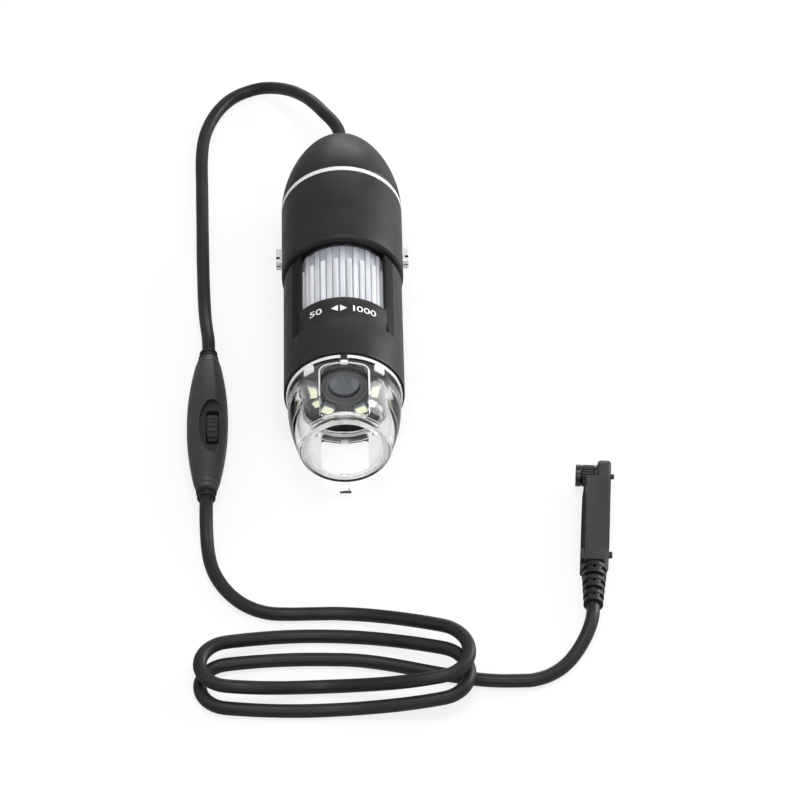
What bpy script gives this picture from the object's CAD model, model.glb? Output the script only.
# %% [markdown]
# # A wired handheld microscope, dressed around its CAD frame
# The object is a small camera microscope that lies on a table: a black barrel with a ribbed focus wheel in
# a window, a clear nose round the lens and its lights, and a cord with an in-line dimmer, a loose coil and
# a slim plug. The CAD frame holds the sizes and the joints. This script gives every surface its finish and
# replaces the shells that need softer edges or finer detail.
#
# Lengths in the code are millimetres, because that is how a maker of such an object thinks. One factor
# turns them into Blender's metres when a point is made.

# %% Load the frame
import math

import bmesh
import bpy
from mathutils import Matrix, Vector


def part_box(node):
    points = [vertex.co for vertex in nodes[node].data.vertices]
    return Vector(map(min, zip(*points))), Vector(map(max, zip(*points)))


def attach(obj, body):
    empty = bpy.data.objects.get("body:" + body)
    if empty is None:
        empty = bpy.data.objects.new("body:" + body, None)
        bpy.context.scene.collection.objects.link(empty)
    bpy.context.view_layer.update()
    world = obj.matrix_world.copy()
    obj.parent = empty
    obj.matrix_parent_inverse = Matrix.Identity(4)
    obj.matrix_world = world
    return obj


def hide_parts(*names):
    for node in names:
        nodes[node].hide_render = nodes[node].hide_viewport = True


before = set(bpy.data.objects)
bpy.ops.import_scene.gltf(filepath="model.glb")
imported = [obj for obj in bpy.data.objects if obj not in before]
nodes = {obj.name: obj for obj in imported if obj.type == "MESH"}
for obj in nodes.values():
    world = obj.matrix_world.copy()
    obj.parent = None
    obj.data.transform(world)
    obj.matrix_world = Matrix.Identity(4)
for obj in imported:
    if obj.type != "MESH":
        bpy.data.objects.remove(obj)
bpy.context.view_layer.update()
scene = bpy.context.scene
MM = 0.001

# %% [markdown]
# ## The camera
# The picture looks down at the table at 45 degrees, almost straight along the barrel. A long lens from over
# a metre away keeps parallel edges nearly parallel, as in a catalogue picture. The camera is placed by a
# target point, a distance and two angles, so that each can be corrected by itself.

# %% Place the camera
view_target = Vector((14.98, -23.93, 0.0)) * MM
view_distance = 1195.7 * MM
view_elevation = math.radians(45.0)
view_azimuth = math.radians(-1.124)
view_back = Vector((
    math.sin(view_azimuth) * math.cos(view_elevation),
    -math.cos(view_azimuth) * math.cos(view_elevation),
    math.sin(view_elevation),
))
lens = bpy.data.cameras.new("catalogue_camera")
lens.lens = 200.0
lens.sensor_width = 36.0
lens.clip_end = 20.0
camera = bpy.data.objects.new("catalogue_camera", lens)
camera.location = view_target + view_back * view_distance
camera.rotation_euler = view_back.to_track_quat("Z", "Y").to_euler()
scene.collection.objects.link(camera)
scene.camera = camera
print("camera at", [round(v, 4) for v in camera.location])

# %% [markdown]
# ## Light, world and floor
# Black plastic shows almost nothing but reflections, so the light is what draws it. One large softbox
# stands behind on the right and gives the long bright band on the barrel, a weaker one on the left keeps
# that side dark, and three more, above, behind and in front, open the shadows together with an even pale
# world. The floor could be a bright lamp, but that would light the object from below. Instead, only rays
# from the camera and through glass see it nearly white, and it still takes the object's shadow. Mirrored
# rays see it glow too, white on the right and fading towards the left, as a paper sweep does under light
# from one side. Blender counts rays through glass as glossy, so those are taken off.

# %% Put up the softboxes
scene.view_settings.view_transform = "Standard"


def softbox(name, place, aim, width, height, power):
    """A rectangular area lamp that points at aim, all in millimetres, with its power in watts."""
    lamp = bpy.data.lights.new(name, "AREA")
    lamp.shape = "RECTANGLE"
    lamp.size = width * MM
    lamp.size_y = height * MM
    lamp.energy = power
    box = bpy.data.objects.new(name, lamp)
    box.location = Vector(place) * MM
    box.rotation_euler = (Vector(place) - Vector(aim)).to_track_quat("Z", "Y").to_euler()
    scene.collection.objects.link(box)


softbox("key_softbox", (680, 340, 260), (10, 0, 10), 300, 620, 5.5)
softbox("top_softbox", (40, -60, 1100), (10, -20, 0), 600, 600, 6.0)
softbox("back_softbox", (60, 820, 150), (0, 45, 20), 420, 240, 1.1)
softbox("left_softbox", (-700, -250, 600), (0, -20, 0), 400, 500, 0.8)
softbox("front_softbox", (150, -900, 800), (10, -60, 10), 700, 500, 4.0)

# %% Helpers that wire nodes


def feed(tree, node, **values):
    """Sets or links a node's sockets by name, with an underscore for a space."""
    for name, value in values.items():
        plug_in(tree, node.inputs[name.replace("_", " ")], value)


def plug_in(tree, socket, value):
    """Links another node's output to a socket, or sets a plain value on it."""
    if isinstance(value, bpy.types.NodeSocket):
        tree.links.new(value, socket)
    else:
        socket.default_value = value


def add_node(tree, kind, *firsts, **named):
    """A new node. firsts go into its first sockets, and the rest into the sockets of those names."""
    node = tree.nodes.new(kind)
    for i, value in enumerate(firsts):
        plug_in(tree, node.inputs[i], value)
    feed(tree, node, **named)
    return node


def math_of(tree, operation, *values, clamp=False):
    """What one of Blender's math operations makes of one or two values."""
    node = add_node(tree, "ShaderNodeMath", *values)
    node.operation = operation
    node.use_clamp = clamp
    return node.outputs[0]


def ramp(tree, value, low, high, from_low=0.3, from_high=0.7):
    """Spreads a value over a range. Noise lies mostly between 0.3 and 0.7."""
    node = add_node(tree, "ShaderNodeMapRange", value, From_Min=from_low, From_Max=from_high, To_Min=low,
                    To_Max=high)
    return node.outputs["Result"]


def seen_directly(tree):
    """A value that is 1 for rays from the camera and through glass, and 0 for light."""
    rays = add_node(tree, "ShaderNodeLightPath").outputs
    return math_of(tree, "MAXIMUM", rays["Is Camera Ray"], rays["Is Transmission Ray"])


# %% Make the world pale
world = bpy.data.worlds.new("pale_studio")
world.use_nodes = True
scene.world = world
sky = world.node_tree
sky.nodes.clear()
fill = add_node(sky, "ShaderNodeBackground", Color=(0.97, 0.98, 1.0, 1.0), Strength=0.42)
white = add_node(sky, "ShaderNodeBackground", Color=(1.0, 1.0, 1.0, 1.0), Strength=1.0)
sky_mix = add_node(sky, "ShaderNodeMixShader", seen_directly(sky), fill.outputs[0], white.outputs[0])
add_node(sky, "ShaderNodeOutputWorld", sky_mix.outputs[0])
print("world nodes:", len(sky.nodes))

# %% Lay the floor
floor_half, floor_white_share = 1500, 0.78
sweep_half, sweep_dim = 150, 0.1
floor_mesh = bpy.data.meshes.new("pale_floor")
floor_mesh.from_pydata(
    [Vector((x * floor_half, y * floor_half, 0)) * MM for x, y in ((-1, -1), (1, -1), (1, 1), (-1, 1))],
    [], [(0, 1, 2, 3)])
floor = bpy.data.objects.new("pale_floor", floor_mesh)
scene.collection.objects.link(floor)
paper = bpy.data.materials.new("pale_paper")
paper.use_nodes = True
tree = paper.node_tree
tree.nodes.clear()
matt = add_node(tree, "ShaderNodeBsdfDiffuse", Color=(0.86, 0.86, 0.86, 1.0))
glow = add_node(tree, "ShaderNodeEmission", Color=(1.0, 1.0, 1.0, 1.0))
white_share = math_of(tree, "MULTIPLY", seen_directly(tree), floor_white_share)
lit = add_node(tree, "ShaderNodeMixShader", white_share, matt.outputs[0], glow.outputs[0])
coords = add_node(tree, "ShaderNodeTexCoord").outputs["Object"]
across = add_node(tree, "ShaderNodeSeparateXYZ", coords).outputs["X"]
sweep = ramp(tree, across, sweep_dim, 1.0, -sweep_half * MM, sweep_half * MM)
mirrored = add_node(tree, "ShaderNodeEmission", Strength=sweep)
rays = add_node(tree, "ShaderNodeLightPath").outputs
mirror_only = math_of(tree, "SUBTRACT", rays["Is Glossy Ray"], rays["Is Transmission Ray"], clamp=True)
paper_mix = add_node(tree, "ShaderNodeMixShader", mirror_only, lit.outputs[0], mirrored.outputs[0])
add_node(tree, "ShaderNodeOutputMaterial", paper_mix.outputs[0])
floor_mesh.materials.append(paper)
print("floor laid,", 2 * floor_half, "mm wide")

# %% [markdown]
# ## Finishes
# Almost everything is moulded plastic, and moulded plastic differs in three ways: its colour wanders a
# little, its gloss comes and goes where hands touch it, and its skin has a fine spark-eroded grain. One
# function makes all of these from noise on Object coordinates, so the grain has a real size and doesn't
# depend on UVs. A wear value on each vertex, worked out later from the mesh's own edges, lets raised edges
# polish brighter.

# %% One function for moulded and metal finishes


def noise(tree, coords, size_mm, detail=3.0, stretch=None):
    """A noise texture whose blobs are about size_mm across."""
    if stretch:
        coords = add_node(tree, "ShaderNodeMapping", coords, Scale=stretch).outputs["Vector"]
    node = add_node(tree, "ShaderNodeTexNoise", coords, Scale=1.0 / (size_mm * MM), Detail=detail)
    return node.outputs["Fac"]


def blend_colours(tree, factor, first, second):
    """Mixes two colours by a factor. Each is a plain colour or another node's output."""
    node = add_node(tree, "ShaderNodeMix", factor)
    node.data_type = "RGBA"
    for socket, colour in ((node.inputs[6], first), (node.inputs[7], second)):
        plug_in(tree, socket, (*colour, 1.0) if isinstance(colour, tuple) else colour)
    return node.outputs[2]


def finish(name, colour, roughness, mottle=0.15, cloud_mm=9.0, gloss_spread=0.06, grain_mm=0.35,
           relief_mm=0.012, worn=None, stretch=None, fade=None, **sockets):
    """A finish with wandering colour and gloss and a fine grain. worn gives the colour of polished edges, and
    fade an axis, two places along it and the colour at the second."""
    material = bpy.data.materials.new(name)
    material.use_nodes = True
    tree = material.node_tree
    coords = add_node(tree, "ShaderNodeTexCoord").outputs["Object"]
    cloud = noise(tree, coords, cloud_mm, 4.0, stretch)
    darker = tuple(c * (1 - mottle) for c in colour)
    lighter = tuple(min(c * (1 + mottle), 1.0) for c in colour)
    tint = blend_colours(tree, ramp(tree, cloud, 0.0, 1.0), darker, lighter)
    if worn:
        edge = add_node(tree, "ShaderNodeAttribute")
        edge.attribute_name = "wear"
        patches = ramp(tree, noise(tree, coords, 2.2), 0.0, 0.55)
        tint = blend_colours(tree, math_of(tree, "MULTIPLY", edge.outputs["Fac"], patches), tint, worn)
    if fade:
        axis, start_mm, end_mm, end_colour = fade
        place = add_node(tree, "ShaderNodeSeparateXYZ", coords).outputs[axis]
        along = ramp(tree, place, 0.0, 1.0, start_mm * MM, end_mm * MM)
        tint = blend_colours(tree, along, tint, end_colour)
    handled = noise(tree, coords, 5.0, 5.0, stretch)
    gloss = ramp(tree, handled, roughness - gloss_spread, roughness + gloss_spread)
    grain = noise(tree, coords, grain_mm, 2.0, stretch)
    bump = add_node(tree, "ShaderNodeBump", Strength=0.6, Distance=relief_mm * MM, Height=grain)
    feed(tree, tree.nodes["Principled BSDF"], Base_Color=tint, Roughness=gloss, Normal=bump.outputs["Normal"],
         **sockets)
    return material


# %% Mix the black finishes
worn_black = (0.06, 0.06, 0.062)
shell_black = finish("satin_black_shell", (0.016, 0.016, 0.0165), 0.42, worn=worn_black,
                     Specular_IOR_Level=0.24)
jacket_black = finish("cord_jacket", (0.0138, 0.0138, 0.0143), 0.42, grain_mm=0.5, relief_mm=0.02,
                      Specular_IOR_Level=0.24)
dimmer_black = finish("dimmer_moulding", (0.032, 0.032, 0.0325), 0.38, worn=worn_black,
                      Specular_IOR_Level=0.3)
recess_black = finish("thumbwheel_rubber", (0.017, 0.0185, 0.019), 0.55, grain_mm=0.25,
                      Specular_IOR_Level=0.25)
plug_black = finish("plug_moulding", (0.024, 0.0245, 0.0255), 0.48, worn=worn_black,
                    Specular_IOR_Level=0.3)
cover_black = finish("plug_cover_moulding", (0.008, 0.008, 0.0085), 0.45, worn=(0.04, 0.04, 0.04),
                     Specular_IOR_Level=0.12)
screw_black = finish("blackened_metal", (0.012, 0.012, 0.012), 0.30, Metallic=0.35)
inner_black = finish("inner_black", (0.009, 0.009, 0.0095), 0.6, Specular_IOR_Level=0.15)
print("finishes:", len(bpy.data.materials))

# %% Mix the bright and pale finishes
trim_silver = finish("bright_trim", (0.86, 0.86, 0.865), 0.34, mottle=0.04, stretch=(1.0, 12.0, 1.0),
                     relief_mm=0.003, Metallic=0.25)
key_chrome = finish("plated_key", (0.80, 0.80, 0.805), 0.16, mottle=0.05, gloss_spread=0.04,
                    relief_mm=0.003, Metallic=0.3)
wheel_streaks = {"relief_mm": 0.004, "stretch": (1.0, 0.04, 1.0)}
wheel_coat = {"mottle": 0.30, "cloud_mm": 2.2, "Coat_Weight": 0.4, "Coat_Roughness": 0.1, **wheel_streaks}
wheel_fade_from, wheel_fade_to = -3.0, 5.5
wheel_pearl = finish("pearl_wheel", (0.60, 0.61, 0.65), 0.24,
                     fade=("Y", wheel_fade_from, wheel_fade_to, (0.24, 0.245, 0.28)), **wheel_coat)
wheel_white = finish("white_wheel", (0.67, 0.68, 0.71), 0.24, **wheel_coat)
flute_grey = finish("flute_shade", (0.45, 0.46, 0.52), 0.35, mottle=0.25, cloud_mm=1.5,
                    fade=("Y", wheel_fade_from, wheel_fade_to, (0.34, 0.345, 0.39)), **wheel_streaks)
ink_white = finish("dial_ink", (0.82, 0.82, 0.82), 0.55, mottle=0.05, relief_mm=0.006)
print("finishes:", len(bpy.data.materials))

# %% Mix the finishes of the optics and the insides
lens_grey = finish("lens_barrel_grey", (0.13, 0.13, 0.132), 0.48, worn=(0.18, 0.18, 0.18))
board_grey = finish("light_board_mask", (0.12, 0.121, 0.124), 0.40, mottle=0.25, grain_mm=0.8)
led_phosphor = finish("light_phosphor", (0.86, 0.90, 0.62), 0.35, mottle=0.05, relief_mm=0.005,
                      Emission_Color=(0.91, 0.95, 0.72, 1.0), Emission_Strength=0.32)
led_package = finish("light_package", (0.40, 0.43, 0.46), 0.30, mottle=0.08, relief_mm=0.004)
steel = finish("plain_steel", (0.56, 0.57, 0.58), 0.32, mottle=0.08, stretch=(6.0, 1.0, 1.0), Metallic=1.0)
board_green = finish("green_solder_mask", (0.02, 0.095, 0.05), 0.34, mottle=0.3, grain_mm=0.8)
chip_black = finish("chip_package", (0.025, 0.026, 0.03), 0.55)
header_nylon = finish("natural_nylon", (0.72, 0.70, 0.62), 0.45)
wire_red = finish("wire_insulation", (0.42, 0.035, 0.03), 0.4)
clamp_grey = finish("clamp_nylon", (0.13, 0.13, 0.135), 0.5)
ribbon_grey = finish("ribbon_cable", (0.55, 0.57, 0.60), 0.35, stretch=(20.0, 1.0, 1.0))
contact_gold = finish("gold_plate", (0.78, 0.58, 0.24), 0.22, mottle=0.06, Metallic=1.0)
clear_acrylic = finish("clear_acrylic", (0.975, 0.98, 0.975), 0.04, mottle=0.015, gloss_spread=0.02,
                       grain_mm=2.5, relief_mm=0.006, IOR=1.31, Transmission_Weight=1.0)
milky_acrylic = finish("milky_acrylic", (0.90, 0.90, 0.885), 0.30, mottle=0.04, relief_mm=0.01, IOR=1.3,
                       Transmission_Weight=0.25)
rim_acrylic = finish("rim_acrylic", (0.97, 0.97, 0.965), 0.06, mottle=0.02, gloss_spread=0.02,
                     relief_mm=0.004, fade=("Z", 14.0, 8.0, (0.03, 0.03, 0.03)), IOR=1.2,
                     Transmission_Weight=1.0)
lens_glass = finish("coated_glass", (0.135, 0.136, 0.14), 0.08, mottle=0.2, gloss_spread=0.02,
                    relief_mm=0.001, grain_mm=4.0, IOR=1.6, Coat_Weight=1.0, Coat_Roughness=0.03,
                    Coat_Tint=(0.86, 0.91, 1.0, 1.0))
print("finishes:", len(bpy.data.materials))

# %% [markdown]
# ## From points to finished pieces
# Every piece ends the same way: doubles merged, faces turned outwards, smooth shading with sharp edges
# kept, a wear value on the vertices, a finish, and a body to ride on. The helpers below do that once, so
# that the cells after them only say what is special about a piece.

# %% Helpers that close a piece


def mark_wear(mesh, from_degrees=14.0, over_degrees=26.0):
    """Stores how sharply the surface turns at each vertex, for the finishes that polish edges."""
    shape = bmesh.new()
    shape.from_mesh(mesh)
    turns = [0.0] * len(shape.verts)
    for edge in shape.edges:
        if len(edge.link_faces) == 2:
            turn = math.degrees(edge.calc_face_angle(0.0))
            for vert in edge.verts:
                turns[vert.index] = max(turns[vert.index], turn)
    shape.free()
    wear = mesh.attributes.new("wear", "FLOAT", "POINT")
    wear.data.foreach_set("value", [min(max((t - from_degrees) / over_degrees, 0.0), 1.0) for t in turns])


def smooth(mesh, sharp_degrees, flat_over=None):
    """Smooth shading, with edges that turn more than sharp_degrees left sharp and large faces left flat."""
    limit = math.inf if flat_over is None else flat_over * MM * MM
    mesh.polygons.foreach_set("use_smooth", [face.area < limit for face in mesh.polygons])
    mesh.set_sharp_from_angle(angle=math.radians(sharp_degrees))


def to_object(name, shape, material):
    """A bmesh as a closed object, with its faces turned outwards."""
    bmesh.ops.remove_doubles(shape, verts=shape.verts, dist=1e-7)
    bmesh.ops.recalc_face_normals(shape, faces=shape.faces)
    mesh = bpy.data.meshes.new(name)
    shape.to_mesh(mesh)
    shape.free()
    mesh.materials.append(material)
    piece = bpy.data.objects.new(name, mesh)
    scene.collection.objects.link(piece)
    return piece


def bake(piece):
    """Turns what the modifiers make into the piece's own plain mesh."""
    bpy.context.view_layer.update()
    graph = bpy.context.evaluated_depsgraph_get()
    made = bpy.data.meshes.new_from_object(piece.evaluated_get(graph))
    worked = piece.data
    piece.modifiers.clear()
    piece.data = made
    bpy.data.meshes.remove(worked)
    return piece


def combine(piece, operation, solids, material_mode):
    """Adds solids to a piece or takes them off it, and removes the solids."""
    for solid in solids:
        step = piece.modifiers.new("combine", "BOOLEAN")
        step.operation = operation
        step.solver = "EXACT"
        step.material_mode = material_mode
        step.object = solid
    bake(piece)
    for solid in solids:
        bpy.data.objects.remove(solid)
    return piece


def carve(piece, *cutters):
    """Cuts solids out of a piece. The new faces keep the cutters' finishes."""
    return combine(piece, "DIFFERENCE", cutters, "TRANSFER")


def round_edges(piece, width, rings=2, degrees=40.0):
    """Rounds the edges that turn more than some degrees."""
    step = piece.modifiers.new("round_edges", "BEVEL")
    step.width = width * MM
    step.segments = rings
    step.limit_method = "ANGLE"
    step.angle_limit = math.radians(degrees)
    return bake(piece)


def seat(piece, body, slot, *replaced, sharp=32.0, flat_over=None):
    """Finishes the shading, and says which body carries the piece and which CAD nodes it stands for."""
    smooth(piece.data, sharp, flat_over)
    mark_wear(piece.data)
    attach(piece, body)
    if replaced:
        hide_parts(*replaced)
    print(f"{piece.name}: {len(piece.data.polygons)} faces on {body}")
    return piece


# %% Helpers that draw a piece
mouth_y, axis_z = -59.0, 16.5


def by_axis(x, along, up):
    """A point by the barrel's axis: millimetres to the right, from the nose's mouth and above the axis."""
    return Vector((x, mouth_y + along, axis_z + up)) * MM


def on_barrel(r, turn, along):
    """A point round the barrel: radius, degrees from the top towards +X, millimetres from the mouth."""
    t = math.radians(turn)
    return by_axis(r * math.sin(t), along, r * math.cos(t))


def skin(shape, rows, whole):
    """Faces between rows of vertices, on to the first row again or closed at both ends."""
    for here, there in zip(rows, rows[1:] + rows[:1] if whole else rows[1:]):
        for j in range(len(here)):
            k = (j + 1) % len(here)
            shape.faces.new((here[j], here[k], there[k], there[j]))
    if not whole:
        shape.faces.new(rows[0])
        shape.faces.new(rows[-1])
    return shape


def turned(profile, place, steps=96, start=0.0, sweep=360.0):
    """A closed outline of radius and station turned about an axis."""
    shape = bmesh.new()
    whole = sweep >= 360.0
    rows = []
    for i in range(steps if whole else steps + 1):
        turn = start + sweep * i / steps
        rows.append([shape.verts.new(place(r, turn, a)) for r, a in profile])
    return skin(shape, rows, whole)


def lathe(name, profile, material, place=on_barrel, steps=96):
    """A piece turned all the way round an axis, which is the barrel's if no other is given."""
    return to_object(name, turned(profile, place, steps), material)


def prism(outline, low, high, place):
    """A flat outline drawn out between two heights; place turns across, along and height into a point."""
    shape = bmesh.new()
    return skin(shape, [[shape.verts.new(place(x, y, z)) for x, y in outline] for z in (low, high)], False)


# %% Helpers that draw an outline


def rectangle(low_x, high_x, low_y, high_y):
    """A rectangle's corners in order."""
    return [(low_x, low_y), (high_x, low_y), (high_x, high_y), (low_x, high_y)]


def rounded_rectangle(wide, long, corner, steps=6):
    """A rectangle with round corners, centred, as a list of points."""
    points = []
    for quarter, (sx, sy) in enumerate(((1, 1), (-1, 1), (-1, -1), (1, -1))):
        for k in range(steps + 1):
            t = math.radians(90 * quarter + 90 * k / steps)
            points.append((sx * (wide / 2 - corner) + corner * math.cos(t),
                           sy * (long / 2 - corner) + corner * math.sin(t)))
    return points


def softened(outline, radius, steps=3, straight_degrees=14.0, edge_share=0.45):
    """A closed outline with its corners rounded, apart from those that hardly turn."""
    soft = []
    for i, corner in enumerate(outline):
        here = Vector(corner)
        back = Vector(outline[i - 1]) - here
        on = Vector(outline[(i + 1) % len(outline)]) - here
        if (-back).angle(on) < math.radians(straight_degrees):
            soft.append(tuple(here))
            continue
        reach = min(radius, back.length * edge_share, on.length * edge_share)
        first, last = here + back.normalized() * reach, here + on.normalized() * reach
        for k in range(steps + 1):
            t = k / steps
            soft.append(tuple(first * (1 - t) ** 2 + here * 2 * t * (1 - t) + last * t * t))
    return soft


# %% [markdown]
# ## The cord
# The cord leaves the tip of the tail, comes down to the table behind it, runs along the left side into the
# dimmer, makes a loose coil of two turns in front and ends in the plug's boot. It could be a curve object
# with a round bevel. A mesh tube is used because it carries its own UVs along the jacket, and because its
# thickness can differ a little from ring to ring. The routes repeat the CAD's own points, so the tube lies
# exactly where the solids are.

# %% Routes of the cord's stretches
cord_thick = 3.5
tail_route = [
    (0, 59, 16.5), (0, 63, 16.5), (-0.6, 67.2, 16.5), (-2.1, 71, 16.3), (-4.2, 74.8, 15.8),
    (-6.5, 79.4, 14.8), (-8.8, 83.9, 13.4), (-11.1, 88, 11.6), (-13.4, 91.7, 9.7), (-15.7, 94.8, 7.8),
    (-18, 97.4, 6), (-20.3, 99.3, 4.5), (-22.7, 100.5, 3.3), (-25.1, 100.8, 2.4), (-27.4, 100.3, 1.9),
    (-29.6, 99.1, 1.75), (-31.9, 97, 1.75), (-34.1, 94, 1.75), (-36, 90.4, 1.75), (-37.5, 86.4, 1.75),
    (-38.6, 82, 1.75), (-39.2, 77, 1.75), (-39.4, 70, 1.75), (-39.2, 61, 1.75), (-39, 51, 1.75),
    (-38.8, 41, 1.75), (-38.6, 31, 1.75), (-38.3, 21, 1.75), (-38, 13, 1.9), (-37.6, 6, 2.6),
    (-37.1, 0.5, 3.7), (-36.7, -3.6, 4.6), (-36.5, -7, 5), (-36.5, -10.3, 5),
]
drop_route = [
    (-36.5, -64.7, 5), (-36.5, -68.5, 5), (-36.4, -74, 3.8), (-36, -80, 2.3), (-35, -85.6, 1.75),
    (-33, -91, 1.75), (-29.8, -96, 1.75), (-25.6, -99.9, 1.75), (-20.5, -102.2, 1.75), (-15, -102.7, 1.75),
    (-10.5, -102.7, 1.75), (-7, -102.7, 1.75),
]
lead_route = [
    (44, -126.5, 1.75), (46.3, -126.4, 1.75), (48.6, -125.8, 1.75), (50.7, -124.9, 1.75),
    (52.8, -123.5, 1.75), (54.8, -121.7, 1.75), (56.8, -119.3, 1.9), (58.8, -116.2, 2.3),
    (60.5, -113, 2.9), (61.8, -109.8, 3.6), (62.6, -106.7, 4.1), (62.9, -103.3, 4.2),
]
print("route points:", len(tail_route), len(drop_route), len(lead_route))

# %% The coil's own formula
coil_mid_x, coil_back_y = -3.5, -102.7
coil_half_w, coil_half_h, coil_tip_r = 34.0, 10.4, 8.0
coil_drift, coil_turns = 7.9, 2
coil_exit_drop, coil_exit_x = 8.0, 40.5
coil_lift = cord_thick + 0.6
coil_humps = [(0.02, 0.25, 0.33, 0.52, 2), (0.52, 0.67, 0.74, 0.96, 1), (1.02, 1.21, 1.3, 1.5, 1)]
coil_tip_x = coil_half_w - coil_tip_r
coil_side_r = (coil_tip_x ** 2 + coil_half_h ** 2 - coil_tip_r ** 2) / (2 * (coil_half_h - coil_tip_r))
coil_side_y = coil_side_r - coil_half_h
coil_side_turn = math.asin(coil_tip_x / (coil_side_r - coil_tip_r))
coil_side_len = 2 * coil_side_r * coil_side_turn
coil_tip_len = coil_tip_r * (math.pi - 2 * coil_side_turn)
coil_round = 2 * (coil_side_len + coil_tip_len)


def ease(t):
    """A smooth step from 0 to 1."""
    u = min(max(t, 0.0), 1.0)
    return u * u * (3 - 2 * u)


def coil_heading(t):
    """The way that the cord runs at a share t of a turn's length, in radians."""
    run = (t % 1.0) * coil_round
    legs = [(coil_side_len / 2, coil_side_r), (coil_tip_len, coil_tip_r), (coil_side_len, coil_side_r),
            (coil_tip_len, coil_tip_r), (coil_side_len / 2, coil_side_r)]
    heading = 0.0
    for length, radius in legs:
        step = min(run, length)
        heading += step / radius
        run -= step
    return heading


def coil_point(t):
    """The coil's centreline at t turns from its start. A raised strand also lies further forward."""
    rise = coil_lift * max(
        layers * ease((t - up) / (top - up)) * (1 - ease((t - down) / (end - down)))
        for up, top, down, end, layers in coil_humps)
    drift = coil_drift * min(t, coil_turns)
    out = t - coil_turns
    if out >= 0:
        x = coil_mid_x + (coil_exit_x - coil_mid_x) * out
        y = coil_back_y - drift - coil_exit_drop * ease(out)
    else:
        s, c = math.sin(coil_heading(t)), math.cos(coil_heading(t))
        if abs(s) < math.sin(coil_side_turn):
            x, y = coil_side_r * s, coil_side_r * c - math.copysign(coil_side_y, c)
        else:
            x, y = coil_tip_r * s + math.copysign(coil_tip_x, s), coil_tip_r * c
        x += coil_mid_x
        y += coil_back_y - coil_half_h - drift
    return (x, y - rise, cord_thick / 2 + rise)


coil_steps, exit_steps = 160, 24
coil_route = [coil_point(coil_turns * i / coil_steps) for i in range(coil_steps)]
coil_route += [coil_point(coil_turns + i / exit_steps) for i in range(exit_steps + 1)]
print("coil points:", len(coil_route))

# %% [markdown]
# ### A tube along a route
# Between the route's points the cord has to bend without corners, so the line through them is a Catmull-Rom
# curve, which passes through each point. Rings of the tube are carried along it without twisting. A jacket
# that has been packed in loops is never a perfect cylinder, so its radius breathes by about one percent.

# %% Draw the tubes


def eased_line(route, spacing):
    """Evenly spaced points on a smooth curve through a route."""
    points = [Vector(p) for p in route]
    padded = [2 * points[0] - points[1], *points, 2 * points[-1] - points[-2]]
    fine = []
    for a, b, c, d in zip(padded, padded[1:], padded[2:], padded[3:]):
        for k in range(16):
            t = k / 16
            fine.append(0.5 * (2 * b + (c - a) * t + (2 * a - 5 * b + 4 * c - d) * t * t
                               + (3 * b - a - 3 * c + d) * t ** 3))
    fine.append(points[-1])
    lengths = [0.0]
    for p, q in zip(fine, fine[1:]):
        lengths.append(lengths[-1] + (q - p).length)
    count = max(round(lengths[-1] / spacing), 2)
    line, k = [], 0
    for i in range(count + 1):
        want = lengths[-1] * i / count
        while k < len(fine) - 2 and lengths[k + 1] < want:
            k += 1
        gap = lengths[k + 1] - lengths[k]
        line.append(fine[k].lerp(fine[k + 1], (want - lengths[k]) / gap if gap else 0.0))
    return line, lengths[-1]


def jacket(name, line, thick, sides=20):
    """A closed tube along a line, with UVs round and along it."""
    shape = bmesh.new()
    uv = shape.loops.layers.uv.new("jacket")
    rows = []
    across = None
    for i, point in enumerate(line):
        ahead = (line[min(i + 1, len(line) - 1)] - line[max(i - 1, 0)]).normalized()
        if across is None:
            across = ahead.cross(Vector((0, 0, 1))).normalized()
        across = (across - ahead * across.dot(ahead)).normalized()
        up = ahead.cross(across)
        r = thick / 2 * (1 + 0.006 * math.sin(i * 0.37) + 0.005 * math.sin(i * 0.113 + 1.0))
        if i in (0, len(line) - 1):
            r = thick / 2
        rows.append([shape.verts.new((point + r * (math.cos(t) * across + math.sin(t) * up)) * MM)
                     for t in (2 * math.pi * k / sides for k in range(sides))])
    for i in range(len(rows) - 1):
        for k in range(sides):
            n = (k + 1) % sides
            face = shape.faces.new((rows[i][k], rows[i][n], rows[i + 1][n], rows[i + 1][k]))
            for loop, (u, v) in zip(face.loops, ((k, i), (k + 1, i), (k + 1, i + 1), (k, i + 1))):
                loop[uv].uv = (u / sides, v * 0.1)
    shape.faces.new(rows[0])
    shape.faces.new(rows[-1])
    return to_object(name, shape, jacket_black)


cord_ring_step = 1.2
tail_line, tail_length = eased_line(tail_route, cord_ring_step)
front_line, front_length = eased_line(drop_route + coil_route + lead_route, cord_ring_step)
tail_cord = seat(jacket("tail_cord", tail_line, cord_thick), "casing", "cord_black", "cord_tail", sharp=60)
front_cord = seat(jacket("coiled_cord", front_line, cord_thick), "casing", "cord_black",
                  "cord_drop", "cord_coil", "cord_lead", sharp=60)
print("cord lengths:", round(tail_length, 1), round(front_length, 1))

# %% [markdown]
# ## The barrel's shells
# The tail, the bright ring, the barrel and the sleeve are round mouldings. Turning an outline about the
# barrel's axis gives them, with the small edge radii that a mould leaves already drawn in the outline. The
# tail is an ogive: fuller than a cone and slimmer than a ball.

# %% Turn the tail, its ring and the cord's grommet
barrel_r, shell_wall = 16.5, 2.0
shell_in = barrel_r - shell_wall
tail_from, tail_to, tail_tip_r, tail_fullness, tail_steps = 92.7, 118.9, 3.2, 1.66, 44
tail_bore_r, tail_bore_deep, hollow_share, hollow_steps = 2.7, 3.0, 0.86, 12


def ogive(share):
    """The tail's radius and station at a share of its length."""
    full = max(1 - share ** tail_fullness, 0.0) ** (1 / tail_fullness)
    return tail_tip_r + (barrel_r - tail_tip_r) * full, tail_from + (tail_to - tail_from) * share


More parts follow.
